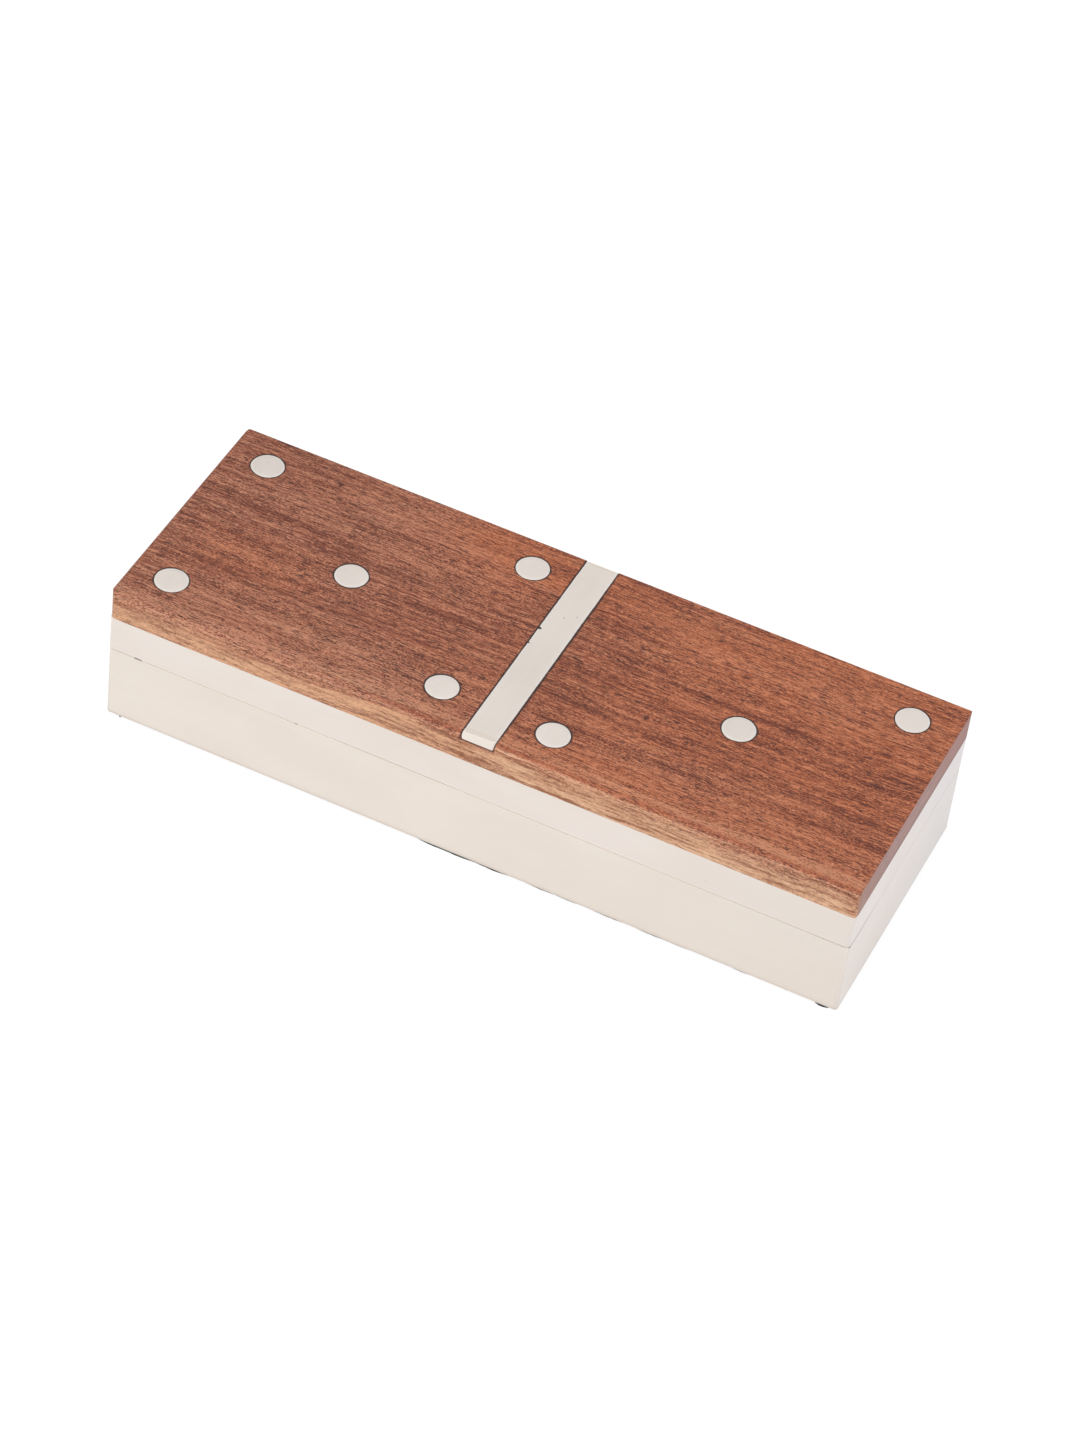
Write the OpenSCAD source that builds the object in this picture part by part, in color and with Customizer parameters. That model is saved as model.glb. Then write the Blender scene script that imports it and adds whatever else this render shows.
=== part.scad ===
// Domino storage box.
// A shallow wooden box faced with cream sheets, with a hinged lid whose wooden
// top is inlaid with pips and a divider strip, so that it looks like a domino.
// Origin: centre of the felt's underside. X: along the box. -Y: front.
// +Y: back, with the hinges. +Z: up. Millimetres.

/* [Box] */
// Length over the cream sides
box_l = 200; // [160:1:260]
// Width over the cream sides
box_w = 72.2; // [58:0.1:100]
// Height of the base's sides, without the felt
base_h = 21.8; // [17:0.1:40]
// Height of the lid's sides, without the wooden top
lid_h = 10.3; // [8.5:0.1:20]
// Gap between the rims of the closed box
seam_gap = 0.15; // [0.1:0.05:0.4]

/* [Walls] */
// Thickness of the cream sheets
sheet_t = 2; // [1:0.1:4]
// Thickness of the boards behind the sheets
board_t = 6; // [5:0.1:10]
// Thickness of the tongue with which a long board covers an end board's end
tongue_t = 3; // [1.5:0.1:4]
// Easing of the standing corners
corner_ease = 1; // [0.4:0.1:1.4]
// Easing of the base's lower edges
foot_ease = 0.3; // [0.2:0.1:0.8]
// Easing of the lower edge at the left end, which is sanded rounder
left_foot_ease = 1.2; // [0.9:0.1:1.4]

/* [Floor and felt] */
// Thickness of the floor panel
floor_t = 4; // [2:0.1:8]
// Depth of the rebate that holds the floor panel's edge
floor_lap = 3; // [1.5:0.1:4]
// Gap round the floor panel in its rebate
floor_gap = 0.1; // [0.05:0.05:0.3]
// Thickness of the felt under the base
foot_felt_t = 0.8; // [0.4:0.1:3]
// Distance that this felt stays back from the sides
foot_felt_inset = 1; // [0.5:0.1:5]
// Thickness of the felt inside
lining_t = 0.8; // [0.4:0.1:3]
// Gap between the felt inside and the boards
lining_gap = 0.3; // [0.1:0.1:2]

/* [Wooden top] */
// Thickness of the wooden top
top_t = 8.1; // [6:0.1:14]
// Distance that the top stands past the cream sheets at each end of the box
top_over = 0.15; // [0:0.05:1]
// Easing of the top's front upper edge
top_ease = 1.5; // [0.6:0.1:2.5]
// Easing of the top's back upper edge, over the hinges
back_ease = 0.5; // [0.3:0.1:1.2]
// Easing of the top's standing corners
top_corner_ease = 1.8; // [0.9:0.1:2.5]

/* [Inlay] */
// Pips in the left field, laid out as on a domino
left_pips = 5; // [1, 2, 3, 4, 5, 6]
// Pips in the right field, laid out as on a domino
right_pips = 3; // [1, 2, 3, 4, 5, 6]
// Diameter of a pip
pip_d = 8.6; // [5:0.1:12]
// Thickness of a pip
pip_t = 3; // [1:0.1:4]
// Distance from a field's edges to the centres of its corner pips
pip_inset = 11.1; // [8:0.1:16]
// How far each pip of the left field stands off its cell, as drilled by hand
left_drift = [[-0.55, 0.55], [-0.2, 0.45], [-0.1, 0], [0.05, 1.2], [0.6, 1.05], [0, 0]];
// The same for the right field
right_drift = [[-0.45, 0.15], [0.75, 0.25], [-0.55, 0.1], [0, 0], [0, 0], [0, 0]];
// Chamfer that leads a pip into its pocket
pip_lead = 0.4; // [0.2:0.1:0.8]
// Width of the divider strip
strip_w = 8.7; // [3:0.1:14]
// Thickness of the divider strip
strip_t = 1.6; // [1:0.1:3.5]
// Slant at the strip's front end, measured along the strip
strip_slant = 1.5; // [0.5:0.1:3]
// Upright land left below the slant
strip_land = 0.1; // [0.1:0.1:0.5]
// Glue gap round each inlay in its pocket
inlay_gap = 0.15; // [0.05:0.05:0.3]

/* [Hinges] */
// Length of a hinge
hinge_l = 25; // [18:1:36]
// Distance from the end of the box to the hinge's near end
hinge_inset = 25; // [14:1:40]
// Number of knuckles on a hinge
knuckles = 5; // [3, 5, 7]
// Gap between two knuckles
knuckle_gap = 0.2; // [0.1:0.05:0.4]
// Gap between the knuckles and the back of the box
knuckle_clear = 0.3; // [0.2:0.05:1]
// Thickness of a leaf, and of the metal round the pin
leaf_t = 1; // [0.8:0.1:1.5]
// Wood left between the end of a leaf and the inside of the box
leaf_land = 1; // [0.5:0.1:2]
// Gap round a leaf in its bed
leaf_gap = 0.1; // [0.05:0.05:0.3]
// Diameter of the hinge pin
pin_d = 1.5; // [1:0.1:2.4]
// Clearance all round the pin in the knuckles
pin_clear = 0.05; // [0.02:0.01:0.1]
// Diameter of the pin's riveted ends
pin_head_d = 2.4; // [2:0.1:3]
// Thickness of the pin's riveted ends
pin_head_t = 0.5; // [0.3:0.1:1]

/* [Hinge screws] */
// Diameter of a screw's head
screw_head_d = 3; // [2.4:0.1:3.6]
// Diameter of a screw's shank
screw_d = 1.6; // [1.2:0.1:2]
// Length of a screw
screw_l = 6; // [4:0.1:7]
// Length of a screw's point
screw_point = 1.6; // [0.8:0.1:2]
// Clearance all round a screw
screw_clear = 0.05; // [0.02:0.01:0.1]
// Distance from a leaf's end to its screw
screw_inset = 6; // [3:0.1:8]
// Width of the slot in a screw's head
slot_w = 0.45; // [0.3:0.05:0.6]
// Depth of the slot in a screw's head
slot_d = 0.35; // [0.2:0.05:0.5]

/* [Hidden] */
$fn = 64;
// Overrun of a cutter past the face that it opens
over = 1;

// Levels, from the table up
base_z = foot_felt_t;
rim_z = base_z + base_h;
lid_z = rim_z + seam_gap;
top_z = lid_z + lid_h;

// Outside of the boards, and the room between them
carcass_l = box_l - 2 * sheet_t;
carcass_w = box_w - 2 * sheet_t;
well_l = carcass_l - 2 * board_t;
well_w = carcass_w - 2 * board_t;
top_l = box_l + 2 * top_over;
// The top's easings end above the groove's floor
front_r = min(top_ease, strip_t - strip_land);
back_r = min(back_ease, strip_t - strip_land);

// The sides, as turns about Z of a piece drawn for the front
FRONT = 0;
RIGHT = 90;
BACK = 180;
LEFT = 270;

// A field of the top, between the divider strip and an end
field_l = (box_l - strip_w) / 2;
field_x = (strip_w + field_l) / 2;
pip_step = [field_l / 2 - pip_inset, box_w / 2 - pip_inset];
// Cells of a three by three grid that a field's pips stand on
PIP_CELLS = [
  [[0, 0]],
  [[-1, -1], [1, 1]],
  [[-1, -1], [0, 0], [1, 1]],
  [[-1, -1], [-1, 1], [1, -1], [1, 1]],
  [[-1, -1], [-1, 1], [0, 0], [1, -1], [1, 1]],
  [[-1, -1], [-1, 1], [0, -1], [0, 1], [1, -1], [1, 1]],
];

// The hinge, drawn about its pin's axis with the lid's leaf above it
barrel_r = pin_d / 2 + pin_clear + leaf_t;
hinge_x = box_l / 2 - hinge_inset - hinge_l / 2;
hinge_y = box_w / 2 + knuckle_clear + barrel_r;
hinge_z = rim_z + seam_gap / 2;
back_y = box_w / 2 - hinge_y;
leaf_end_y = back_y - (sheet_t + board_t - leaf_land);
leaf_z = seam_gap / 2;
knuckle_l = (hinge_l - (knuckles - 1) * knuckle_gap) / knuckles;
screw_x = hinge_l / 2 - screw_inset;
screw_y = (leaf_end_y + back_y - sheet_t) / 2;
BASE_KNUCKLES = [0:2:knuckles - 1];
LID_KNUCKLES = [1:2:knuckles - 2];

BONE = [0.92, 0.88, 0.84];
INLAY = [0.87, 0.84, 0.81];
TOP_WOOD = [0.65, 0.39, 0.29];
BOARD_WOOD = [0.78, 0.6, 0.42];
FELT = [0.09, 0.11, 0.1];
BRASS = [0.78, 0.62, 0.3];

// ---- Easing ----

// Radius of the arc that eases an edge back by r on both faces.
// It is a little over r, so the arc meets each face at a faint crease.
function ease_r(r) = 1.2 * r;
// Distance from the edge's two faces to that arc's centre
function ease_c(r) = (r + sqrt(2 * pow(ease_r(r), 2) - r * r)) / 2;

// Cutter for an edge of length l on the Z axis, of a body in the +X +Y quarter
// It reaches past the creases, so only its arc meets the faces.
module edge_cutter(r, l) {
  difference() {
    translate([-over, -over, -over]) cube([ease_c(r) + over, ease_c(r) + over, l + 2 * over]);
    translate([ease_c(r), ease_c(r), -2 * over]) cylinder(r = ease_r(r), h = l + 4 * over);
  }
}

// The same for an edge of length l centred on the X axis, of a body above it
module lower_edge_cutter(r, l) {
  translate([-l / 2, 0, 0]) rotate([90, 0, 90]) edge_cutter(r, l);
}

// ---- Sides ----

// Puts a piece on its side of the box. It is drawn along X with its outer face
// on Y = 0 and its body at +Y, and reach is that face's distance from the centre.
module on_side(turn, reach) {
  rotate([0, 0, turn]) translate([0, -reach, 0]) children();
}

// Rebate for the floor panel's edge along a board's lower inner edge
module floor_rebate(l) {
  translate([-l / 2, board_t - floor_lap, -over]) cube([l, floor_lap + over, floor_t + over]);
}

// Front or back board, with a rebate at each end for the end boards
module long_board(h) {
  difference() {
    translate([-carcass_l / 2, 0, 0]) cube([carcass_l, board_t, h]);
    for (side = [-1, 1])
      translate([side * (carcass_l + well_l + 2 * over) / 4, tongue_t, -over])
        translate([-(board_t + over) / 2, 0, 0]) cube([board_t + over, board_t, h + 2 * over]);
  }
}

// End board, which stands in the rebates of the long boards
module end_board(h) {
  l = carcass_w - 2 * tongue_t;
  translate([-l / 2, 0, 0]) cube([l, board_t, h]);
}

// Cream sheet of length l, mitred and eased at both ends
module mitred_sheet(l, h) {
  difference() {
    linear_extrude(h)
      polygon([[-l / 2, 0], [l / 2, 0], [l / 2 - sheet_t, sheet_t], [sheet_t - l / 2, sheet_t]]);
    translate([-l / 2, 0, 0]) edge_cutter(corner_ease, h);
    translate([l / 2, 0, 0]) mirror([1, 0, 0]) edge_cutter(corner_ease, h);
  }
}

// Base sheet, with its lower edge eased by r as well
module base_sheet(l, r) {
  difference() {
    mitred_sheet(l, base_h);
    lower_edge_cutter(r, l);
  }
}

// Cutter for the rounder lower edge at the left end, which the long sheets' ends share
module left_foot_cutter() {
  translate([0, 0, base_z]) on_side(LEFT, box_l / 2) lower_edge_cutter(left_foot_ease, box_w);
}

module base_long_board() {
  difference() {
    long_board(base_h);
    floor_rebate(well_l + 2 * floor_lap);
  }
}

module base_end_board() {
  difference() {
    end_board(base_h);
    floor_rebate(carcass_w);
  }
}

// ---- Base ----

module base_front_board() {
  color(BOARD_WOOD) translate([0, 0, base_z]) on_side(FRONT, carcass_w / 2) base_long_board();
}

module base_back_board() {
  color(BOARD_WOOD) difference() {
    translate([0, 0, base_z]) on_side(BACK, carcass_w / 2) base_long_board();
    base_hinge_beds();
  }
}

module base_side_board(turn) {
  color(BOARD_WOOD) translate([0, 0, base_z]) on_side(turn, carcass_l / 2) base_end_board();
}

module base_front_sheet() {
  color(BONE) difference() {
    translate([0, 0, base_z]) on_side(FRONT, box_w / 2) base_sheet(box_l, foot_ease);
    left_foot_cutter();
  }
}

module base_back_sheet() {
  color(BONE) difference() {
    translate([0, 0, base_z]) on_side(BACK, box_w / 2) base_sheet(box_l, foot_ease);
    left_foot_cutter();
    base_hinge_beds();
  }
}

module base_side_sheet(turn, r) {
  color(BONE) translate([0, 0, base_z]) on_side(turn, box_l / 2) base_sheet(box_w, r);
}

module floor_panel() {
  l = well_l + 2 * (floor_lap - floor_gap);
  w = well_w + 2 * (floor_lap - floor_gap);
  color(BOARD_WOOD) translate([-l / 2, -w / 2, base_z]) cube([l, w, floor_t]);
}

module floor_lining() {
  l = well_l - 2 * lining_gap;
  w = well_w - 2 * lining_gap;
  color(FELT) translate([-l / 2, -w / 2, base_z + floor_t]) cube([l, w, lining_t]);
}

module foot_felt() {
  l = box_l - 2 * foot_felt_inset;
  w = box_w - 2 * foot_felt_inset;
  color(FELT) translate([-l / 2, -w / 2, 0]) cube([l, w, foot_felt_t]);
}

// ---- Lid ----

module lid_front_board() {
  color(BOARD_WOOD) translate([0, 0, lid_z]) on_side(FRONT, carcass_w / 2) long_board(lid_h);
}

module lid_back_board() {
  color(BOARD_WOOD) difference() {
    translate([0, 0, lid_z]) on_side(BACK, carcass_w / 2) long_board(lid_h);
    lid_hinge_beds();
  }
}

module lid_side_board(turn) {
  color(BOARD_WOOD) translate([0, 0, lid_z]) on_side(turn, carcass_l / 2) end_board(lid_h);
}

module lid_front_sheet() {
  color(BONE) translate([0, 0, lid_z]) on_side(FRONT, box_w / 2) mitred_sheet(box_l, lid_h);
}

module lid_back_sheet() {
  color(BONE) difference() {
    translate([0, 0, lid_z]) on_side(BACK, box_w / 2) mitred_sheet(box_l, lid_h);
    lid_hinge_beds();
  }
}

module lid_side_sheet(turn) {
  color(BONE) translate([0, 0, lid_z]) on_side(turn, box_l / 2) mitred_sheet(box_w, lid_h);
}

// Centre of a field's pip: side is -1 for the left field and 1 for the right
function pip_xy(side, cell, drift) =
  [side * field_x + cell[0] * pip_step[0], cell[1] * pip_step[1]] + drift;
function left_xy(i) = pip_xy(-1, PIP_CELLS[left_pips - 1][i - 1], left_drift[i - 1]);
function right_xy(i) = pip_xy(1, PIP_CELLS[right_pips - 1][i - 1], right_drift[i - 1]);

// Blind pocket for a pip
module pip_pocket(xy) {
  translate([xy[0], xy[1], top_t - pip_t]) cylinder(d = pip_d + 2 * inlay_gap, h = pip_t + over);
}

// Cutter that eases a long upper edge of the top by r
module upper_edge_cutter(turn, r) {
  on_side(turn, box_w / 2)
    translate([0, 0, top_t]) mirror([0, 0, 1]) lower_edge_cutter(r, top_l);
}

// Solid wooden top, with a groove across it for the strip and a pocket for each pip
module lid_top() {
  groove_w = strip_w + 2 * inlay_gap;
  color(TOP_WOOD) translate([0, 0, top_z]) difference() {
    translate([-top_l / 2, -box_w / 2, 0]) cube([top_l, box_w, top_t]);
    for (i = [0, 1], j = [0, 1]) mirror([i, 0, 0]) mirror([0, j, 0])
      translate([-top_l / 2, -box_w / 2, 0]) edge_cutter(top_corner_ease, top_t);
    upper_edge_cutter(FRONT, front_r);
    upper_edge_cutter(BACK, back_r);
    translate([-groove_w / 2, -box_w / 2 - over, top_t - strip_t])
      cube([groove_w, box_w + 2 * over, strip_t + over]);
    for (i = [1:left_pips]) pip_pocket(left_xy(i));
    for (i = [1:right_pips]) pip_pocket(right_xy(i));
  }
}

// Strip across the top, its front end filed to a slant and its back end eased like the top
module divider_strip() {
  half = box_w / 2;
  color(INLAY) translate([-strip_w / 2, 0, top_z + top_t - strip_t]) rotate([90, 0, 90])
    linear_extrude(strip_w)
      polygon([
        [-half, 0], [half, 0], [half, strip_t - back_r], [half - back_r, strip_t],
        [strip_slant - half, strip_t], [-half, strip_land],
      ]);
}

// Turned disc, flush with the wooden top
module pip(xy) {
  r = pip_d / 2;
  color(INLAY) translate([xy[0], xy[1], top_z + top_t - pip_t]) rotate_extrude()
    polygon([[0, 0], [r - pip_lead, 0], [r, pip_lead], [r, pip_t], [0, pip_t]]);
}

// ---- Hinges ----
// Each is drawn with its pin on the X axis. The lid's leaf lies above the XY
// plane, the base's leaf is its mirror image below, and both reach to -Y.

module at_hinge(side) {
  translate([side * hinge_x, hinge_y, hinge_z]) children();
}

// Cylinder of radius r along X, from x over a length l
module rod(r, x, l) {
  translate([x, 0, 0]) rotate([0, 90, 0]) cylinder(r = r, h = l);
}

// One child at each of a leaf's screws, at the leaf's inner face, pointing up
module at_screws() {
  for (side = [-1, 1]) translate([side * screw_x, screw_y, leaf_z]) children();
}

// Countersunk screw, head down, or with grow the hole that clears it
module screw_form(grow, l) {
  head_r = screw_head_d / 2 + grow;
  shank_r = screw_d / 2 + grow;
  rotate_extrude()
    polygon([
      [0, 0], [head_r, 0], [shank_r, head_r - shank_r],
      [shank_r, l - screw_point], [grow, l], [0, l],
    ]);
}

// Leaf with its share of the knuckles, bored for the pin and countersunk for the screws
module hinge_leaf(own) {
  difference() {
    union() {
      translate([-hinge_l / 2, leaf_end_y, leaf_z]) cube([hinge_l, back_y - leaf_end_y, leaf_t]);
      for (i = own) {
        x = i * (knuckle_l + knuckle_gap) - hinge_l / 2;
        translate([x, back_y - over, leaf_z]) cube([knuckle_l, over - back_y, leaf_t]);
        rod(barrel_r, x, knuckle_l);
      }
    }
    rod(pin_d / 2 + pin_clear, -hinge_l / 2 - over, hinge_l + 2 * over);
    at_screws() {
      screw_form(screw_clear, screw_l);
      translate([0, 0, -over]) cylinder(r = screw_head_d / 2 + screw_clear, h = over);
    }
  }
}

// Two screws, their slotted heads flush with the leaf
module hinge_screws() {
  at_screws() difference() {
    screw_form(0, screw_l);
    translate([-screw_head_d, -slot_w / 2, -over]) cube([2 * screw_head_d, slot_w, over + slot_d]);
  }
}

// Bed cut in the rim for a leaf, with the screws' pilot holes
module hinge_bed() {
  bed_l = hinge_l + 2 * leaf_gap;
  translate([-bed_l / 2, leaf_end_y - leaf_gap, leaf_z - over])
    cube([bed_l, over + leaf_gap + back_y - leaf_end_y, over + leaf_t]);
  at_screws() screw_form(screw_clear, screw_l + screw_clear);
}

module base_hinge_beds() {
  for (side = [-1, 1]) at_hinge(side) mirror([0, 0, 1]) hinge_bed();
}

module lid_hinge_beds() {
  for (side = [-1, 1]) at_hinge(side) hinge_bed();
}

module base_leaf(side) {
  color(BRASS) at_hinge(side) mirror([0, 0, 1]) hinge_leaf(BASE_KNUCKLES);
}

module lid_leaf(side) {
  color(BRASS) at_hinge(side) hinge_leaf(LID_KNUCKLES);
}

module base_screws(side) {
  color(BRASS) at_hinge(side) mirror([0, 0, 1]) hinge_screws();
}

module lid_screws(side) {
  color(BRASS) at_hinge(side) hinge_screws();
}

// Pin through all the knuckles, riveted over at both ends
module hinge_pin(side) {
  r = pin_d / 2;
  head_r = pin_head_d / 2;
  half = hinge_l / 2;
  color(BRASS) at_hinge(side) rotate([0, 90, 0]) rotate_extrude()
    polygon([
      [0, -half - pin_head_t], [r, -half - pin_head_t],
      [head_r, -half - pin_head_t / 2], [head_r, -half],
      [r, -half], [r, half],
      [head_r, half], [head_r, half + pin_head_t / 2],
      [r, half + pin_head_t], [0, half + pin_head_t],
    ]);
}

// ---- Nodes ----

base_front_board();
base_back_board();
base_side_board(LEFT);  // base_left_board
base_side_board(RIGHT);  // base_right_board
base_front_sheet();
base_back_sheet();
base_side_sheet(LEFT, left_foot_ease);  // base_left_sheet
base_side_sheet(RIGHT, foot_ease);  // base_right_sheet
floor_panel();
floor_lining();
foot_felt();
lid_front_board();
lid_back_board();
lid_side_board(LEFT);  // lid_left_board
lid_side_board(RIGHT);  // lid_right_board
lid_front_sheet();
lid_back_sheet();
lid_side_sheet(LEFT);  // lid_left_sheet
lid_side_sheet(RIGHT);  // lid_right_sheet
lid_top();
divider_strip();
base_leaf(-1);  // left_hinge_base_leaf
lid_leaf(-1);  // left_hinge_lid_leaf
hinge_pin(-1);  // left_hinge_pin
base_screws(-1);  // left_hinge_base_screws
lid_screws(-1);  // left_hinge_lid_screws
base_leaf(1);  // right_hinge_base_leaf
lid_leaf(1);  // right_hinge_lid_leaf
hinge_pin(1);  // right_hinge_pin
base_screws(1);  // right_hinge_base_screws
lid_screws(1);  // right_hinge_lid_screws
for (i = [1:left_pips])
  pip(left_xy(i));
for (i = [1:right_pips])
  pip(right_xy(i));
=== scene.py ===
import math

import bmesh
import bpy
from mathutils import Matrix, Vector, noise


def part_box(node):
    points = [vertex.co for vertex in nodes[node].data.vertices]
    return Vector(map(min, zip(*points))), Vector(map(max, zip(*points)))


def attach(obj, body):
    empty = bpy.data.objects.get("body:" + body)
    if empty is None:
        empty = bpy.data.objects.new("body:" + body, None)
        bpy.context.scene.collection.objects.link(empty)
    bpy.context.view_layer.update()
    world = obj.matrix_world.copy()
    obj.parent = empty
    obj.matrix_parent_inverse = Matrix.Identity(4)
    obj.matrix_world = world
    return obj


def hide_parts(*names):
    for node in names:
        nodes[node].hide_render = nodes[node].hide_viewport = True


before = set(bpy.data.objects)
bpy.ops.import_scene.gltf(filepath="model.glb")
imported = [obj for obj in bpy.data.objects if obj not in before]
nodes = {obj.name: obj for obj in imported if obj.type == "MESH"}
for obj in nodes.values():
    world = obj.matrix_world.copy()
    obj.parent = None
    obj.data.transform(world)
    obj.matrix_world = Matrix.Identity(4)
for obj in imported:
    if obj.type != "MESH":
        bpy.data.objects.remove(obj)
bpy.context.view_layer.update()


# ---- Camera ----
# A long lens that looks down on the box over its front right corner. Places
# are in mm, turns in degrees.
MM = 0.001
camera_place = Vector((290.486, -779.265, 819.221)) * MM
camera_turn = (45.825, -5.367, 25.514)
camera_lens = 116.588
film_height = 36.0

camera_data = bpy.data.cameras.new("camera")
camera_data.sensor_fit = "VERTICAL"
camera_data.sensor_height = film_height
camera_data.lens = camera_lens
camera = bpy.data.objects.new("camera", camera_data)
camera.location = camera_place
camera.rotation_euler = [math.radians(angle) for angle in camera_turn]
bpy.context.scene.collection.objects.link(camera)
bpy.context.scene.camera = camera


def ink(red, green, blue):
    """A colour given in screen values from 0 to 255, as the shader takes it."""
    parts = [c / 255 for c in (red, green, blue)]
    return [c / 12.92 if c <= 0.04045 else ((c + 0.055) / 1.055) ** 2.4 for c in parts] + [1]


def new_finish(name):
    """A material with its shader, ready for its own nodes."""
    finish = bpy.data.materials.new(name)
    finish.use_nodes = True
    tree = finish.node_tree
    shader = tree.nodes["Principled BSDF"]
    return finish, tree, shader


def add(tree, kind, inputs, **settings):
    """Adds a node. Each input is a number, a colour or another node's output."""
    made = tree.nodes.new("ShaderNode" + kind)
    for name, value in settings.items():
        setattr(made, name, value)
    for key, value in inputs.items():
        if isinstance(value, bpy.types.NodeSocket):
            tree.links.new(value, made.inputs[key])
        else:
            made.inputs[key].default_value = value
    return made


def calc(tree, operation, first, second=0.0, third=0.0):
    """One sum on numbers or outputs."""
    inputs = {0: first, 1: second}
    if operation == "MULTIPLY_ADD":
        inputs[2] = third
    return add(tree, "Math", inputs, operation=operation).outputs[0]


def times(tree, *values):
    """All the values multiplied together."""
    product = values[0]
    for value in values[1:]:
        product = calc(tree, "MULTIPLY", product, value)
    return product


def away(tree, value, middle):
    """How far a value is from the middle one."""
    return calc(tree, "ABSOLUTE", calc(tree, "SUBTRACT", value, middle))


def rise(tree, value, low, high):
    """0 below low, 1 above high and a smooth step between. low may be the larger."""
    inputs = {"Value": value, "From Min": low, "From Max": high}
    step = add(tree, "MapRange", inputs, interpolation_type="SMOOTHSTEP")
    return step.outputs["Result"]


def mix(tree, share, first, second):
    """Two colours mixed by a share from 0 to 1."""
    made = add(tree, "Mix", {}, data_type="RGBA")
    for socket, value in ((0, share), (6, first), (7, second)):
        if isinstance(value, bpy.types.NodeSocket):
            tree.links.new(value, made.inputs[socket])
        else:
            made.inputs[socket].default_value = value
    return made.outputs[2]


def place_in_mm(tree):
    """The point on the piece, in mm from the box's middle at the table, and its X, Y and Z."""
    coordinates = add(tree, "TexCoord", {})
    scaled = add(tree, "VectorMath", {0: coordinates.outputs["Object"]}, operation="SCALE")
    scaled.inputs["Scale"].default_value = 1 / MM
    place = scaled.outputs[0]
    x, y, z = add(tree, "SeparateXYZ", {0: place}).outputs
    return place, x, y, z


def stretched(tree, place, per_mm):
    """The place scaled for a texture, as cells per millimetre along X, Y and Z."""
    return add(tree, "VectorMath", {0: place, 1: per_mm}, operation="MULTIPLY").outputs[0]


def cloud(tree, place, per_mm, detail=2.0, roughness=0.5, distortion=0.0):
    """Smooth noise from 0 to 1, with its own size along X, Y and Z."""
    inputs = {"Vector": stretched(tree, place, per_mm), "Scale": 1.0, "Detail": detail,
              "Roughness": roughness, "Distortion": distortion}
    return add(tree, "TexNoise", inputs).outputs[0]


def set_colour(tree, shader, colour):
    """Joins a colour to the shader."""
    tree.links.new(colour, shader.inputs["Base Color"])


def set_rough(tree, shader, texture, low, high):
    """Roughness that goes from low to high with a texture from 0 to 1."""
    rough = calc(tree, "MULTIPLY_ADD", texture, high - low, low)
    tree.links.new(rough, shader.inputs["Roughness"])


def set_relief(tree, shader, height, strength, depth):
    """Small bumps of that depth in mm, from a height from 0 to 1."""
    bump = add(tree, "Bump", {"Strength": strength, "Distance": depth * MM, "Height": height})
    tree.links.new(bump.outputs[0], shader.inputs["Normal"])


def dress(piece, finish):
    """Gives a piece one finish all over."""
    piece.data.materials.clear()
    piece.data.materials.append(finish)


def soften(piece, width):
    """Takes the sharpness off a piece's edges, by a width in mm."""
    weld = piece.modifiers.new("joined_faces", "WELD")
    weld.merge_threshold = 0.001 * MM
    bevel = piece.modifiers.new("arris", "BEVEL")
    bevel.width = width * MM
    bevel.segments = 2
    bevel.limit_method = "ANGLE"
    bevel.angle_limit = math.radians(40)


def board_finish(name, early, late, along, across):
    """Light wood. along and across are the grain's cells per mm on X, Y and Z."""
    finish, tree, shader = new_finish(name)
    place = place_in_mm(tree)[0]
    figure = cloud(tree, place, across, detail=3, roughness=0.6)
    fibre = cloud(tree, place, along, detail=3, roughness=0.6)
    share = calc(tree, "MULTIPLY_ADD", fibre, 0.45, calc(tree, "MULTIPLY", figure, 0.55))
    set_colour(tree, shader, mix(tree, rise(tree, share, 0.36, 0.64), early, late))
    set_rough(tree, shader, fibre, 0.5, 0.7)
    set_relief(tree, shader, fibre, 0.25, 0.08)
    shader.inputs["Specular IOR Level"].default_value = 0.3
    return finish


board_early = ink(198, 158, 112)
board_late = ink(166, 120, 80)
board_arris = 0.15
long_grain = board_finish("long_board_wood", board_early, board_late, (0.15, 3.0, 3.0), (0.012, 0.35, 0.35))
cross_grain = board_finish("end_board_wood", board_early, board_late, (3.0, 0.15, 3.0), (0.35, 0.012, 0.35))
for part in ("base", "lid"):
    for side in ("front", "back", "left", "right"):
        board = nodes[f"{part}_{side}_board"]
        dress(board, long_grain if side in ("front", "back") else cross_grain)
        soften(board, board_arris)
dress(nodes["floor_panel"], long_grain)
soften(nodes["floor_panel"], board_arris)


# ---- Cream sheets ----
# Eight sheets of polished cream resin, 2 mm thick, glued to the outside of the
# boards and mitred at the corners. Painted on them: a paler, warmer rim of
# painted light along the seam where lid and base meet, painted shadow in the
# seam's gap, darkest at the left end of the front, painted shade at the foot,
# the right end's back half in a cooler painted shade, and the front painted
# darker towards the right.
sheet_arris = 0.06
sheet_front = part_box("base_front_sheet")[0].y / MM
sheet_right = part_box("base_right_sheet")[1].x / MM
seam_z = (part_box("base_front_sheet")[1].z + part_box("lid_front_sheet")[0].z) / 2 / MM
# Painted light and shade on the cream sheets: a paler, warmer rim of painted light at the seam, painted
# shadow in the seam's gap, painted shade at the foot, a cooler painted shade on the right end and a painted
# falloff of light along the front
seam_painted_light = ink(244, 232, 218)
seam_gap_shadow = ink(120, 106, 92)
foot_shade = ink(176, 162, 150)
right_end_cool_shade = ink(226, 222, 219)
front_falloff_shade = ink(221, 212, 202)
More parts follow.
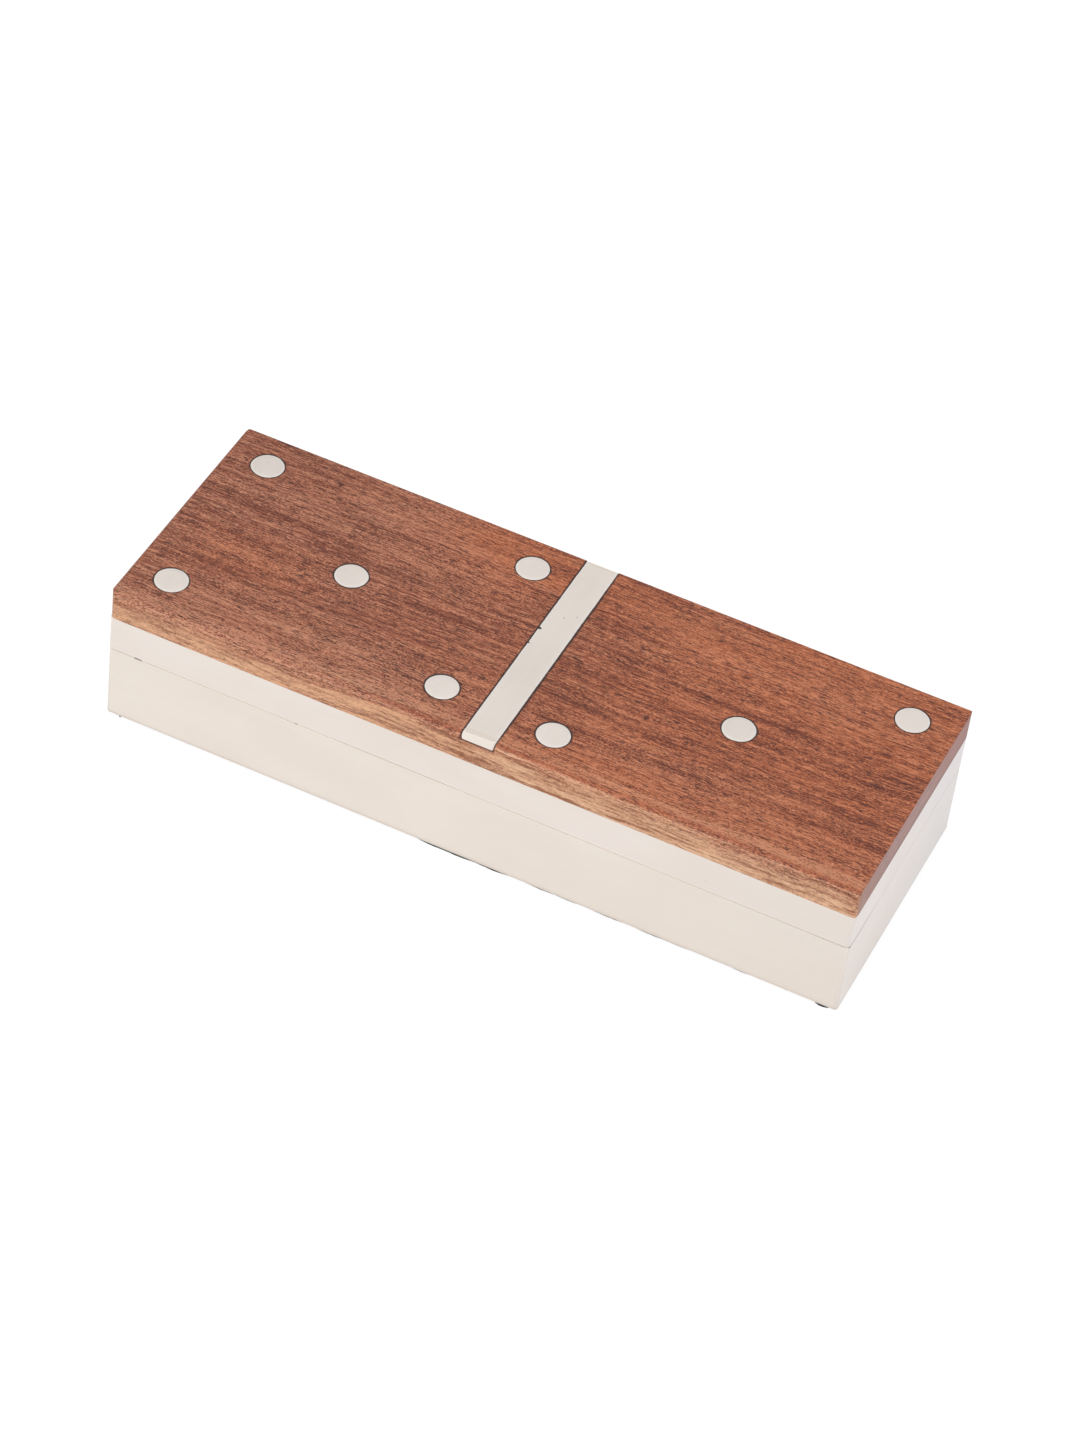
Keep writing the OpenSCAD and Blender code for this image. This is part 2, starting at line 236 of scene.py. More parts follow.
# Painted shadow in the seam's gap at the front: middle and half length in mm, and how dark
seam_gap_shadows = (
    (-96.0, 4.0, 0.08),
    (-91.7, 1.4, 0.65),
    (-47.6, 0.5, 0.4),
    (-20.0, 18.0, 0.08),
    (93.3, 0.5, 0.25),
    (95.0, 6.0, 0.1),
)


def spots(tree, place, per_mm):
    """Distance from the nearest of many scattered spots, in spot widths."""
    inputs = {"Vector": stretched(tree, place, per_mm), "Scale": 1.0}
    return add(tree, "TexVoronoi", inputs).outputs["Distance"]


def clouded_cream(tree, place, plain, clouded, streak_cells):
    """Cream with soft clouds, faint streaks and a few tiny specks."""
    clouds = cloud(tree, place, (0.03, 0.03, 0.06), detail=3)
    streaks = cloud(tree, place, streak_cells, detail=2)
    share = calc(tree, "MULTIPLY_ADD", streaks, 0.22, calc(tree, "MULTIPLY", clouds, 0.78))
    colour = mix(tree, rise(tree, share, 0.35, 0.65), plain, clouded)
    speck = rise(tree, spots(tree, place, (0.11, 0.11, 0.11)), 0.035, 0.015)
    return mix(tree, calc(tree, "MULTIPLY", speck, 0.35), colour, ink(176, 160, 140))


def polish_cream(tree, shader, place):
    """Rubbed to a soft shine that varies a little, over slight ripples from the polishing."""
    wear = cloud(tree, place, (0.2, 0.2, 0.2), detail=4)
    set_rough(tree, shader, wear, 0.29, 0.43)
    ripple = cloud(tree, place, (0.35, 0.35, 1.4), detail=3)
    set_relief(tree, shader, ripple, 0.06, 0.05)


def sheet_finish(name, plain, clouded):
    """Cream with a warmer rim of painted light at the seam, painted shadow in its gap, painted shade at
    the foot, a right end painted cooler and a front painted darker to the right.
    """
    finish, tree, shader = new_finish(name)
    place, x, y, z = place_in_mm(tree)
    colour = clouded_cream(tree, place, plain, clouded, (0.02, 0.02, 0.9))
    # Painted light: a paler, warmer rim along the seam lifts the shade of its gap
    near_seam = rise(tree, away(tree, z, seam_z), 0.45, 0.15)
    colour = mix(tree, calc(tree, "MULTIPLY", near_seam, 0.7), colour, seam_painted_light)
    at_front = rise(tree, y, sheet_front + 0.6, sheet_front + 0.1)
    at_right = rise(tree, x, sheet_right - 0.5, sheet_right - 0.1)
    # Painted shadow in the seam's gap: on the front half of the right end, and at the listed places along
    # the front
    gap_shadow_depth = times(tree, rise(tree, y, -14.0, -32.0), at_right, 0.6)
    for middle, half, amount in seam_gap_shadows:
        spot = rise(tree, away(tree, x, middle), half, 0.5 * half)
        gap_shadow_depth = calc(tree, "MAXIMUM", gap_shadow_depth, times(tree, spot, at_front, amount))
    colour = mix(tree, calc(tree, "MULTIPLY", near_seam, gap_shadow_depth), colour, seam_gap_shadow)
    # Painted shade along the foot, darker towards the bottom edge
    foot_shade_share = calc(tree, "MULTIPLY", rise(tree, z, 2.2, 1.2), 0.3)
    colour = mix(tree, foot_shade_share, colour, foot_shade)
    # Painted shade: the back half of the right end cooler and greyer, as the light falls there
    right_end_shade_share = times(tree, at_right, rise(tree, y, -12.0, 22.0), 0.6)
    colour = mix(tree, right_end_shade_share, colour, right_end_cool_shade)
    # Painted shade: the front darker towards its right end, where the light falls off
    front_falloff_share = times(tree, at_front, rise(tree, x, 40.0, 90.0), 0.3)
    colour = mix(tree, front_falloff_share, colour, front_falloff_shade)
    set_colour(tree, shader, colour)
    polish_cream(tree, shader, place)
    return finish


base_cream = sheet_finish("base_cream", ink(232, 223, 213), ink(229, 219, 208))
lid_cream = sheet_finish("lid_cream", ink(232, 223, 215), ink(229, 219, 210))
for part, finish in (("base", base_cream), ("lid", lid_cream)):
    for side in ("front", "back", "left", "right"):
        dress(nodes[f"{part}_{side}_sheet"], finish)
        soften(nodes[f"{part}_{side}_sheet"], sheet_arris)


# ---- Felt ----
# Near-black wool felt, cut by hand with scissors and glued over the floor inside
# and under the base. The lower piece's edge wanders, so it peeps out in places.
felt_black = ink(26, 30, 29)
felt_grey = ink(52, 56, 54)
# Where the lower felt reaches out at the front: middle, half length and how far, in mm
peeps = ((-96.7, 0.8, 1.0), (-3.0, 13.0, 0.42), (35.0, 75.0, 0.75), (96.6, 2.3, 0.95))
# Which stretch of the wandering each side's edge takes
side_seed = {"left": 4, "right": 5, "front": 5, "back": 4}


def felt_finish(name):
    """Matt wool, mottled and slightly hairy."""
    finish, tree, shader = new_finish(name)
    place = place_in_mm(tree)[0]
    wool = cloud(tree, place, (1.8, 1.8, 1.8), detail=5, roughness=0.7)
    set_colour(tree, shader, mix(tree, rise(tree, wool, 0.3, 0.7), felt_black, felt_grey))
    set_relief(tree, shader, wool, 0.6, 0.2)
    shader.inputs["Roughness"].default_value = 0.95
    shader.inputs["Specular IOR Level"].default_value = 0.15
    shader.inputs["Sheen Weight"].default_value = 0.25
    return finish


def make_piece(name, points, faces, finish, body):
    """A new piece from points in metres that moves with a body. Only its sharper edges stay sharp."""
    mesh = bpy.data.meshes.new(name)
    mesh.from_pydata(points, [], faces)
    shell = bmesh.new()
    shell.from_mesh(mesh)
    bmesh.ops.recalc_face_normals(shell, faces=shell.faces)
    shell.to_mesh(mesh)
    shell.free()
    mesh.shade_smooth()
    mesh.set_sharp_from_angle(angle=math.radians(50))
    piece = bpy.data.objects.new(name, mesh)
    bpy.context.scene.collection.objects.link(piece)
    dress(piece, finish)
    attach(piece, body)
    return piece


def foot_set_back(side, along):
    """How far the lower felt's edge lies inside its place, for a place along that side. All in mm."""
    back = 0.6 + 0.35 * noise.noise(Vector((along / 6, 3.0, side_seed[side])))
    back += 0.08 * noise.noise(Vector((along / 0.9, 7.0, side_seed[side])))
    if side == "front":
        for middle, half, reach in peeps:
            back -= reach * max(0, 1 - abs((along - middle) / half) ** 3)
    return back


def lining_set_back(side, along):
    """The same for the felt on the floor, which is cut closer."""
    return 0.15 + 0.15 * noise.noise(Vector((along / 8, 12.0, side_seed[side])))


def felt_piece(name, node, set_back, finish):
    """A sheet of felt in the place of its CAD solid, lumpy on top, with its cut edges pressed down."""
    low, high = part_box(node)
    width = high.x - low.x
    depth = high.y - low.y
    cell_x = 1.0
    cell_y = 2.0
    lump_size = 3.0
    lump_height = 0.04
    pressed_edge = 0.1
    cells_x = round(width / MM / cell_x)
    cells_y = round(depth / MM / cell_y)
    points = []
    for j in range(cells_y + 1):
        for i in range(cells_x + 1):
            x = low.x + width * i / cells_x
            y = low.y + depth * j / cells_y
            left = set_back("left", y / MM) * MM
            right = set_back("right", y / MM) * MM
            front = set_back("front", x / MM) * MM
            back = set_back("back", x / MM) * MM
            x = low.x + left + (width - left - right) * i / cells_x
            y = low.y + front + (depth - front - back) * j / cells_y
            lump = noise.noise(Vector((x, y, 0)) / (lump_size * MM))
            z = high.z + lump_height * MM * (lump - 1)
            if i in (0, cells_x) or j in (0, cells_y):
                z -= pressed_edge * MM
            points.append((x, y, z))
    across = cells_x + 1
    faces = []
    for j in range(cells_y):
        for i in range(cells_x):
            corner = j * across + i
            faces.append([corner, corner + 1, corner + across + 1, corner + across])
    rim = list(range(cells_x))
    rim += [j * across + cells_x for j in range(cells_y)]
    rim += [cells_y * across + i for i in range(cells_x, 0, -1)]
    rim += [j * across for j in range(cells_y, 0, -1)]
    below = len(points)
    points += [(points[k][0], points[k][1], low.z) for k in rim]
    for k in range(len(rim)):
        after = (k + 1) % len(rim)
        faces.append([rim[k], rim[after], below + after, below + k])
    faces.append([below + k for k in range(len(rim))])
    piece = make_piece(name, points, faces, finish, "base")
    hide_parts(node)


felt = felt_finish("black_felt")
felt_piece("felt_under_base", "foot_felt", foot_set_back, felt)
felt_piece("felt_on_floor", "floor_lining", lining_set_back, felt)


# ---- Hinges ----
# Two small brass butt hinges, let into the rims at the back. The leaves are
# folded from sheet, the pin is drawn wire with riveted ends, the screws slotted.
brass_arris = 0.08


def brass_finish(name, bright, dull, polish):
    """Brass with dull stains, brushed along X. polish is its middle roughness."""
    finish, tree, shader = new_finish(name)
    place = place_in_mm(tree)[0]
    stain = cloud(tree, place, (0.5, 0.5, 0.5), detail=4, roughness=0.65)
    set_colour(tree, shader, mix(tree, rise(tree, stain, 0.3, 0.8), bright, dull))
    set_rough(tree, shader, stain, polish - 0.1, polish + 0.1)
    brushed = cloud(tree, place, (0.6, 9.0, 9.0), detail=2)
    set_relief(tree, shader, brushed, 0.15, 0.03)
    shader.inputs["Metallic"].default_value = 1.0
    return finish


leaf_brass = brass_finish("leaf_brass", ink(216, 184, 120), ink(178, 144, 88), 0.38)
screw_brass = brass_finish("screw_brass", ink(222, 194, 132), ink(186, 152, 98), 0.3)
for side in ("left", "right"):
    for part in ("base_leaf", "lid_leaf", "pin", "base_screws", "lid_screws"):
        piece = nodes[f"{side}_hinge_{part}"]
        dress(piece, screw_brass if "screws" in part else leaf_brass)
        soften(piece, brass_arris)


# ---- Wooden top ----
# One slab of reddish-brown open-pored wood, oiled and rubbed to a satin. The
# grain runs along the box, and pale sapwood is left along the front edge. A
# little dark glue has soaked in round each pip and along the divider strip.
top_low, top_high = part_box("lid_top")
top_z = top_high.z / MM
wood_low = top_low.z / MM
wood_front = top_low.y / MM
wood_right = top_high.x / MM
wood_back = top_high.y / MM
strip_low, strip_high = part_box("divider_strip")
groove_floor_z = strip_low.z / MM
pip_names = [f"left_pip_{i + 1}" for i in range(5)] + [f"right_pip_{i + 1}" for i in range(3)]
pip_radius = (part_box("left_pip_1")[1].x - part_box("left_pip_1")[0].x) / 2 / MM
inlay_gap = 0.15
top_arris = 0.15
# The solid top's four standing corners have one radius. The real one's differ,
# by end (-1 left, 1 right) and edge (-1 front, 1 back). All in mm.
eased_corner = 1.8
corner_radii = {(-1, -1): 1.8, (-1, 1): 1.0, (1, -1): 0.35, (1, 1): 0.3}
heart_dark = ink(106, 53, 38)
heart_plain = ink(171, 106, 80)
heart_light = ink(200, 141, 111)
heart_orange = ink(180, 101, 66)
orange_light = ink(206, 132, 95)
pore_brown = ink(68, 35, 30)
sap_dark = ink(146, 94, 66)
sap_tan = ink(213, 163, 129)
sap_gold = ink(233, 184, 142)
sap_pale = ink(230, 190, 154)
sap_edge_brown = ink(158, 84, 54)
end_mauve = ink(167, 134, 127)
end_shade = ink(147, 112, 107)
end_brown = ink(152, 112, 98)
end_red = ink(156, 112, 104)
# Painted shade for the foot of the sawn ends
sawn_foot_shade = ink(112, 82, 76)
glue_stain = ink(40, 26, 25)
# Dark growth lines: place across the grain and width in mm, how dark at the left end and at the right
growth_lines = (
    (29.0, 1.6, 0.3, 0.5),
    (17.5, 1.2, 0.2, 0.4),
    (9.5, 1.6, 1.1, 0.5),
    (6.5, 0.9, 0.6, 1.3),
    (-1.0, 1.1, 0.9, 0.9),
    (-8.5, 0.9, 0.7, 0.5),
    (-13.5, 1.2, 0.7, 1.0),
    (-21.0, 1.1, 0.9, 1.3),
    (-27.5, 0.8, 0.8, 0.6),
)
# Lighter and darker patches: middle on X and Y, half length and half width in mm, and amount
broad_patches = (
    (-35.0, 24.0, 25.0, 8.0, 0.12),
    (-40.0, -27.0, 35.0, 5.0, 0.1),
    (60.0, 22.0, 35.0, 9.0, 0.12),
    (12.0, 0.0, 10.0, 30.0, -0.06),
    (62.0, -27.0, 45.0, 2.4, 0.15),
    (-62.0, -30.5, 14.0, 1.6, -0.12),
    (-15.0, 5.0, 14.0, 9.0, -0.06),
    (0.0, -33.0, 170.0, 1.4, 0.34),
    (0.0, -34.8, 45.0, 1.0, 0.1),
    (-62.0, -27.0, 16.0, 3.0, 0.1),
    (-78.0, -35.6, 45.0, 1.2, 0.14),
    (88.0, -35.2, 25.0, 0.9, -0.12),
    (-90.0, 26.0, 25.0, 16.0, -0.06),
    (-72.0, -8.0, 16.0, 9.0, 0.03),
    (-45.0, -36.2, 16.0, 0.9, 0.13),
    (35.0, -34.8, 14.0, 0.9, 0.12),
    (-18.0, -35.0, 11.0, 1.0, -0.24),
    (76.0, -4.0, 22.0, 12.0, -0.04),
    (-70.0, 14.0, 16.0, 9.0, -0.03),
)
# The paler sapwood's upper edge: where along X each drop starts and ends, and how deep it is, in mm
sap_edge_drops = (
    (6.0, 0.0, 1.1),
    (-22.0, -50.0, 1.9),
    (-70.0, -90.0, -0.9),
    (40.0, 62.0, 2.6),
    (76.0, 92.0, -1.0),
)


def grain_place(tree, place, x, y, z):
    """The place along and across the grain: it sways slowly and ripples a little."""
    sway_by = 5.0
    wave_by = 1.6
    ripple_by = 0.5
    lean = 0.5
    sway = cloud(tree, place, (0.013, 0.03, 0.03), detail=2)
    wave = cloud(tree, place, (0.06, 0.15, 0.15), detail=2)
    ripple = cloud(tree, place, (0.35, 0.9, 0.9), detail=1)
    across = calc(tree, "MULTIPLY_ADD", z, lean, y)
    across = calc(tree, "MULTIPLY_ADD", sway, sway_by, across)
    across = calc(tree, "MULTIPLY_ADD", wave, wave_by, across)
    across = calc(tree, "MULTIPLY_ADD", ripple, ripple_by, across)
    middle = lean * top_z + 0.5 * (sway_by + wave_by + ripple_by)
    across = calc(tree, "SUBTRACT", across, middle)
    return across, add(tree, "CombineXYZ", {0: x, 1: across, 2: z}).outputs[0]


def swing(tree, tone, texture, amount):
    """The tone moved up and down by a texture that lies about 0.5."""
    moved = calc(tree, "MULTIPLY_ADD", texture, amount, -0.5 * amount)
    return calc(tree, "ADD", moved, tone)


def dashes(tree, grain, per_mm, low, high):
    """Short thin marks along the grain: the peaks of a stretched noise."""
    return rise(tree, cloud(tree, grain, per_mm, detail=1.0), low, high)


def grain_textures(tree, grain):
    """From long to short along the grain: stripes, thread, rope, fibre and fleck."""
    stripes = cloud(tree, grain, (0.03, 0.85, 0.1), detail=3, roughness=0.65)
    thread = cloud(tree, grain, (0.06, 1.9, 0.9), detail=2, roughness=0.6)
    rope = cloud(tree, grain, (0.12, 1.2, 0.9), detail=2, roughness=0.6)
    fibre = cloud(tree, grain, (0.35, 2.6, 1.8), detail=2, roughness=0.65)
    fleck = cloud(tree, grain, (1.4, 4.0, 2.6), detail=2, roughness=0.75)
    return stripes, thread, rope, fibre, fleck


def bell(tree, off):
    """1 in a patch's middle, a half at its half size. off is how far off a place is, squared."""
    return calc(tree, "POWER", 2.0, calc(tree, "MULTIPLY", off, -1.0))


def off_middle(tree, x, y, middle_x, middle_y, half_x, half_y):
    """How far a place is from a patch's middle, squared, in the patch's own half sizes."""
    off_x = calc(tree, "DIVIDE", calc(tree, "SUBTRACT", x, middle_x), half_x)
    off_y = calc(tree, "DIVIDE", calc(tree, "SUBTRACT", y, middle_y), half_y)
    return calc(tree, "MULTIPLY_ADD", off_x, off_x, times(tree, off_y, off_y))


def heart_tone(tree, textures, grain, x, y, across):
    """How light the heartwood is, about 0.5, with its bands, growth lines and patches."""
    stripes, thread, rope, fibre, fleck = textures
    bands = cloud(tree, grain, (0.01, 0.16, 0.02), detail=2, roughness=0.6)
    patch = cloud(tree, grain, (0.05, 0.35, 0.1), detail=2, roughness=0.6)
    tone = swing(tree, 0.5, bands, 0.3)
    tone = swing(tree, tone, stripes, 0.85)
    tone = swing(tree, tone, thread, 0.85)
    tone = swing(tree, tone, rope, 0.4)
    tone = swing(tree, tone, fibre, 1.4)
    busy = rise(tree, cloud(tree, grain, (0.02, 0.12, 0.1), detail=2), 0.35, 0.65)
    busy = calc(tree, "MULTIPLY_ADD", rise(tree, y, -30.0, -32.5), 1.6, busy)
    right_back = times(tree, rise(tree, x, 20.0, 45.0), rise(tree, y, 6.0, 16.0))
    busy = calc(tree, "MULTIPLY_ADD", right_back, -0.6, busy)
    busy = calc(tree, "ADD", busy, 1.5)
    fleck = calc(tree, "MULTIPLY", calc(tree, "SUBTRACT", fleck, 0.5), busy)
    tone = calc(tree, "ADD", tone, fleck)
    to_the_right = rise(tree, x, -60.0, 60.0)
    strength = times(tree, stripes, rise(tree, patch, 0.3, 0.62), 1.6)
    for middle, width, left_depth, right_depth in growth_lines:
        off = calc(tree, "DIVIDE", calc(tree, "SUBTRACT", across, middle), width)
        line = bell(tree, times(tree, off, off, 1.5))
        depth = calc(tree, "MULTIPLY_ADD", to_the_right, right_depth - left_depth, left_depth)
        tone = calc(tree, "MULTIPLY_ADD", times(tree, strength, line, depth), -0.3, tone)
    for middle_x, middle_y, half_x, half_y, amount in broad_patches:
        off = off_middle(tree, x, y, middle_x, middle_y, half_x, half_y)
        tone = calc(tree, "MULTIPLY_ADD", bell(tree, off), amount, tone)
    return tone


def sap_tone(tree, textures, x):
    """How light the sapwood is, about 0.5: finely striped, and darker by the divider strip."""
    stripes, thread, rope, fibre, fleck = textures
    tone = swing(tree, 0.52, stripes, 0.9)
    tone = swing(tree, tone, thread, 1.3)
    tone = swing(tree, tone, rope, 0.3)
    tone = swing(tree, tone, fibre, 0.7)
    beside = rise(tree, away(tree, x, 9.0), 24.0, 10.0)
    tone = calc(tree, "MULTIPLY_ADD", beside, -0.08, tone)
    return swing(tree, tone, fleck, 0.6)


def warmth(tree, grain, x, y):
    """How orange the heartwood is: most to the right, and in two patches of the left field."""
    drift = cloud(tree, grain, (0.02, 0.08, 0.05), detail=2)
    warm = bell(tree, off_middle(tree, x, y, -14.0, 29.0, 22.0, 8.0))
    left_end = rise(tree, away(tree, x, -74.0), 26.0, 8.0)
    left_end = calc(tree, "MULTIPLY", left_end, rise(tree, away(tree, y, -8.0), 14.0, 4.0))
    warm = calc(tree, "MULTIPLY_ADD", left_end, 0.5, warm)
    warm = calc(tree, "ADD", rise(tree, x, -70.0, 70.0), warm)
    right_front = times(tree, rise(tree, x, 20.0, 60.0), rise(tree, y, -6.0, -22.0))
    warm = calc(tree, "MULTIPLY_ADD", right_front, -0.3, warm)
    warm = swing(tree, warm, drift, 0.8)
    return calc(tree, "MINIMUM", calc(tree, "MAXIMUM", warm, 0.0), 1.3)


def pore_marks(tree, grain):
    """The open pores, as short dark dashes that crowd together in places."""
    long_dash = dashes(tree, grain, (0.45, 3.4, 2.0), 0.56, 0.65)
    short_dash = dashes(tree, grain, (1.3, 4.6, 3.0), 0.56, 0.65)
    crowded = rise(tree, cloud(tree, grain, (0.09, 0.5, 0.3), detail=3, roughness=0.6), 0.3, 0.65)
    pores = calc(tree, "MAXIMUM", long_dash, calc(tree, "MULTIPLY", short_dash, 0.8))
    return calc(tree, "MULTIPLY", pores, calc(tree, "MULTIPLY_ADD", crowded, 0.8, 0.2))


def by_tone(tree, tone, dark, plain, light):
    """Three colours laid out from the dark tones to the light ones."""
    colour = mix(tree, rise(tree, tone, 0.12, 0.66), dark, plain)
    return mix(tree, rise(tree, tone, 0.38, 0.9), colour, light)


def sap_share(tree, textures, x, y, z):
    """The share of sapwood, from 0 to 1, and of the dark lines behind it and along its edge."""
    stripes, thread, rope, fibre, fleck = textures
    down = calc(tree, "SUBTRACT", top_z, z)
    back = calc(tree, "SUBTRACT", y, wood_front)
    below = swing(tree, calc(tree, "SUBTRACT", down, back), stripes, 1.6)
    below = swing(tree, below, rope, 1.0)
    edge = 0.0
    for start, end, drop in sap_edge_drops:
        edge = calc(tree, "MULTIPLY_ADD", rise(tree, x, start, end), drop, edge)
    past_edge = calc(tree, "SUBTRACT", below, edge)
    pale = rise(tree, below, -0.2, 0.4)
    paler = rise(tree, past_edge, -0.2, 0.7)
    palest = rise(tree, past_edge, 0.5, 4.0)
    on_left = rise(tree, x, 4.0, -4.0)
    share = calc(tree, "MULTIPLY", pale, calc(tree, "MULTIPLY_ADD", on_left, -0.14, 0.41))
    share = calc(tree, "MULTIPLY_ADD", paler, calc(tree, "MULTIPLY_ADD", on_left, 0.14, 0.2), share)
    share = calc(tree, "MULTIPLY_ADD", palest, 0.22, share)
    low = rise(tree, z, wood_low + 2.4, wood_low + 1.0)
    low = calc(tree, "MULTIPLY", low, calc(tree, "MULTIPLY_ADD", on_left, -0.32, 0.18))
    share = calc(tree, "MULTIPLY_ADD", low, rise(tree, away(tree, x, -30.0), 105.0, 85.0), share)
    band = times(tree, rise(tree, away(tree, y, -32.9), 1.7, 0.5), rise(tree, x, -60.0, -40.0), 0.16)
    share = calc(tree, "MULTIPLY_ADD", band, rise(tree, down, 1.0, 0.3), share)
    behind = rise(tree, away(tree, below, -1.0), 0.9, 0.3)
    near_strip = rise(tree, away(tree, x, 8.0), 60.0, 14.0)
    on_right = calc(tree, "MULTIPLY", rise(tree, x, -40.0, 10.0), 0.3)
    behind = calc(tree, "MULTIPLY", behind, calc(tree, "MULTIPLY_ADD", near_strip, 0.25, on_right))
    along = rise(tree, away(tree, past_edge, 0.0), 0.4, 0.1)
    along = times(tree, along, rise(tree, x, -12.0, -28.0), rise(tree, fibre, 0.35, 0.55), 0.5)
    return share, calc(tree, "MAXIMUM", behind, along)


def end_grain(tree, place, colour, x, y, z):
    """The sawn ends: greyer, in soft layers, browner to the front, redder to the back, with painted shade
    below.
    """
    layers = cloud(tree, place, (0.1, 0.06, 0.7), detail=3, roughness=0.6)
    dots = cloud(tree, place, (1.0, 2.5, 2.5), detail=2, roughness=0.7)
    tone = calc(tree, "MULTIPLY_ADD", layers, 0.6, calc(tree, "MULTIPLY", dots, 0.4))
    sawn = mix(tree, rise(tree, tone, 0.38, 0.62), end_shade, end_mauve)
    to_front = rise(tree, y, -14.0, -32.0)
    to_back = rise(tree, y, 6.0, 22.0)
    sawn = mix(tree, calc(tree, "MULTIPLY", to_front, 0.6), sawn, end_brown)
    sawn = mix(tree, calc(tree, "MULTIPLY", to_back, 0.7), sawn, end_red)
    # Painted shade low on the sawn ends, where they meet the cream, less towards the front
    low = calc(tree, "MULTIPLY_ADD", to_front, -0.35, 0.5)
    low = calc(tree, "MULTIPLY", low, rise(tree, z, wood_low + 2.2, wood_low))
    sawn = mix(tree, low, sawn, sawn_foot_shade)
    at_end = rise(tree, calc(tree, "ABSOLUTE", x), wood_right - 0.25, wood_right - 0.05)
    return mix(tree, calc(tree, "MULTIPLY", at_end, 0.85), colour, sawn)


def near_inlay(tree, place, x, y, z):
    """How much glue has stained the wood, from 0 to 1, at the pips' and the strip's edges."""
    flat = add(tree, "CombineXYZ", {0: x, 1: y}).outputs[0]
    far = 1000.0
    nearest = far
    for name in pip_names:
        low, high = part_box(name)
        centre = [(low.x + high.x) / 2 / MM, (low.y + high.y) / 2 / MM, 0]
        reach = add(tree, "VectorMath", {0: flat, 1: centre}, operation="DISTANCE").outputs["Value"]
        nearest = calc(tree, "MINIMUM", calc(tree, "SUBTRACT", reach, pip_radius), nearest)
    from_strip = calc(tree, "SUBTRACT", calc(tree, "ABSOLUTE", x), strip_high.x / MM)
    spread = times(tree, rise(tree, away(tree, y, 0.0), 36.0, 18.0), rise(tree, x, -4.0, 4.0))
    from_strip = calc(tree, "MULTIPLY_ADD", spread, -0.2, from_strip)
    nearest = calc(tree, "MINIMUM", nearest, from_strip)
    wander = cloud(tree, place, (0.5, 0.5, 0.5), detail=3)
    nearest = calc(tree, "MULTIPLY_ADD", wander, -0.5, nearest)
    near_surface = rise(tree, z, groove_floor_z - 0.25, groove_floor_z - 0.05)
    return calc(tree, "MULTIPLY", rise(tree, nearest, 0.28, -0.02), near_surface)


def top_wood_finish():
    """Heartwood and sapwood, their pores, the sawn ends and the glue stains, in that order."""
    finish, tree, shader = new_finish("oiled_top_wood")
    place, x, y, z = place_in_mm(tree)
    across, grain = grain_place(tree, place, x, y, z)
    textures = grain_textures(tree, grain)
    tone = heart_tone(tree, textures, grain, x, y, across)
    pores = pore_marks(tree, grain)
    warm = warmth(tree, grain, x, y)
    plain = mix(tree, warm, heart_plain, heart_orange)
    light = mix(tree, warm, heart_light, orange_light)
    heart = by_tone(tree, tone, heart_dark, plain, light)
    sap_light = mix(tree, rise(tree, x, -12.0, 12.0), sap_gold, sap_pale)
    sap = by_tone(tree, sap_tone(tree, textures, x), sap_dark, sap_tan, sap_light)
    share, lines = sap_share(tree, textures, x, y, z)
    colour = mix(tree, share, heart, sap)
    colour = mix(tree, lines, colour, sap_edge_brown)
    pores = calc(tree, "MULTIPLY", pores, calc(tree, "MULTIPLY_ADD", share, -0.8, 0.95))
    colour = mix(tree, pores, colour, pore_brown)
    colour = end_grain(tree, place, colour, x, y, z)
    stain = near_inlay(tree, place, x, y, z)
    colour = mix(tree, calc(tree, "MULTIPLY", stain, 0.85), colour, glue_stain)
    set_colour(tree, shader, colour)
    set_rough(tree, shader, textures[4], 0.4, 0.55)
    set_relief(tree, shader, calc(tree, "MULTIPLY", pores, -1.0), 0.3, 0.08)
    shader.inputs["Specular IOR Level"].default_value = 0.25
    return finish


def drawn_out(x, y):
    """A place on the top in mm, once its standing corner is drawn out to the radius it should have."""
    end = 1 if x > 0 else -1
    edge = 1 if y > 0 else -1
    radius = corner_radii[end, edge]
    hair = 0.001
    out_x = end * x - (wood_right - eased_corner)
    out_y = min(edge * y - (wood_back - eased_corner), eased_corner)
    if min(out_x, out_y) < -hair or radius == eased_corner:
        return x, y
    eased = (eased_corner ** 2 - out_y ** 2) ** 0.5
    square = eased_corner - radius
    wanted = square + (radius ** 2 - max(0, out_y - square) ** 2) ** 0.5
    out_x = out_x * wanted / eased if eased > hair else square
    return end * (out_x + wood_right - eased_corner), y


# The solid top, joined up and re-cornered, then eased along its other edges
shell = bmesh.new()
shell.from_mesh(nodes["lid_top"].data)
bmesh.ops.remove_doubles(shell, verts=shell.verts, dist=0.001 * MM)
points = []
for vertex in shell.verts:
    x, y, z = nodes["lid_top"].matrix_world @ vertex.co / MM
    x, y = drawn_out(x, y)
    points.append((x * MM, y * MM, z * MM))
faces = [[vertex.index for vertex in face.verts] for face in shell.faces]
shell.free()
wooden_top = make_piece("wooden_top", points, faces, top_wood_finish(), "lid")
soften(wooden_top, top_arris)
wooden_top.modifiers.new("flat_faces", "WEIGHTED_NORMAL").keep_sharp = True
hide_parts("lid_top")


# ---- Divider strip ----
# A bar of cream resin let into a groove across the top, its ends filed to a
# slant. Its left edge is chipped in two places, and dark glue fills the gaps.
strip_half = strip_high.x / MM
strip_top = (strip_high.z - strip_low.z) / MM
strip_end = strip_high.y / MM
strip_arris = 0.1
front_land = 0.5
front_slant = 1.42
front_skew = 0.05
back_slant = 0.5
glue_bed = 0.3
glue_overlap = 0.02
front_ease = 1.5
back_ease = 0.5
# Chips in the left edge: place along the strip, half length and depth, in mm
chips = ((7.4, 0.5, 0.75), (1.3, 0.3, 0.4))


